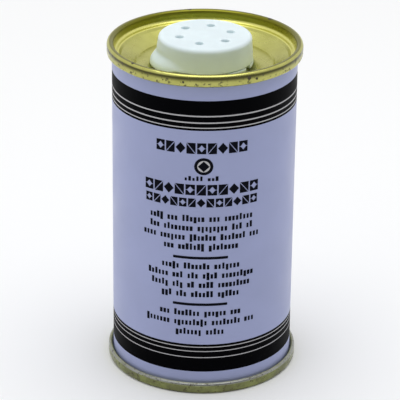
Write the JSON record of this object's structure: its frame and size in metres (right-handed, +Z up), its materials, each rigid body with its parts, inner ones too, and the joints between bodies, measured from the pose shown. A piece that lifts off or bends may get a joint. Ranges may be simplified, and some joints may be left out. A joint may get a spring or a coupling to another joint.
{
  "type": "talcum powder tin",
  "caption": "Cylindrical lithographed talcum powder tin with gold-lacquered seamed ends and a turning plastic sifter cap set in its recessed top.",
  "frame": {"origin": "centre of the base, on the plane that the tin stands on", "axes": "+Z up along the tin's axis; -Y towards the front, where the main panel of the print is; the side seam is at the back"},
  "size_m": [0.054, 0.054, 0.0976],
  "materials": {
    "printed_tinplate": "semi-gloss printed lacquer, pale lavender with black bands",
    "gold_tinplate": "bright transparent gold lacquer over tinplate",
    "seam_compound": "matt sealing compound",
    "sifter_base_plastic": "satin moulded polythene",
    "sifter_cap_plastic": "satin moulded polythene, off-white"
  },
  "bodies": {
    "tin": {"can_body": "printed_tinplate", "top_end": "gold_tinplate", "bottom_end": "gold_tinplate", "top_seam_compound": "seam_compound", "bottom_seam_compound": "seam_compound"},
    "sifter_base": {"sifter_base": "sifter_base_plastic"},
    "sifter_cap": {"sifter_cap": "sifter_cap_plastic"}
  },
  "joints": [
    {"name": "sifter_pull", "type": "slide", "parent": "tin", "child": "sifter_base", "axis": [0, 0, 1], "range_m": [0, 0.025]},
    {"name": "cap_turn", "type": "hinge", "parent": "sifter_base", "child": "sifter_cap", "pos_m": [0, 0, 0.096], "axis": [0, 0, 1], "range_deg": [0, 30]}
  ]
}
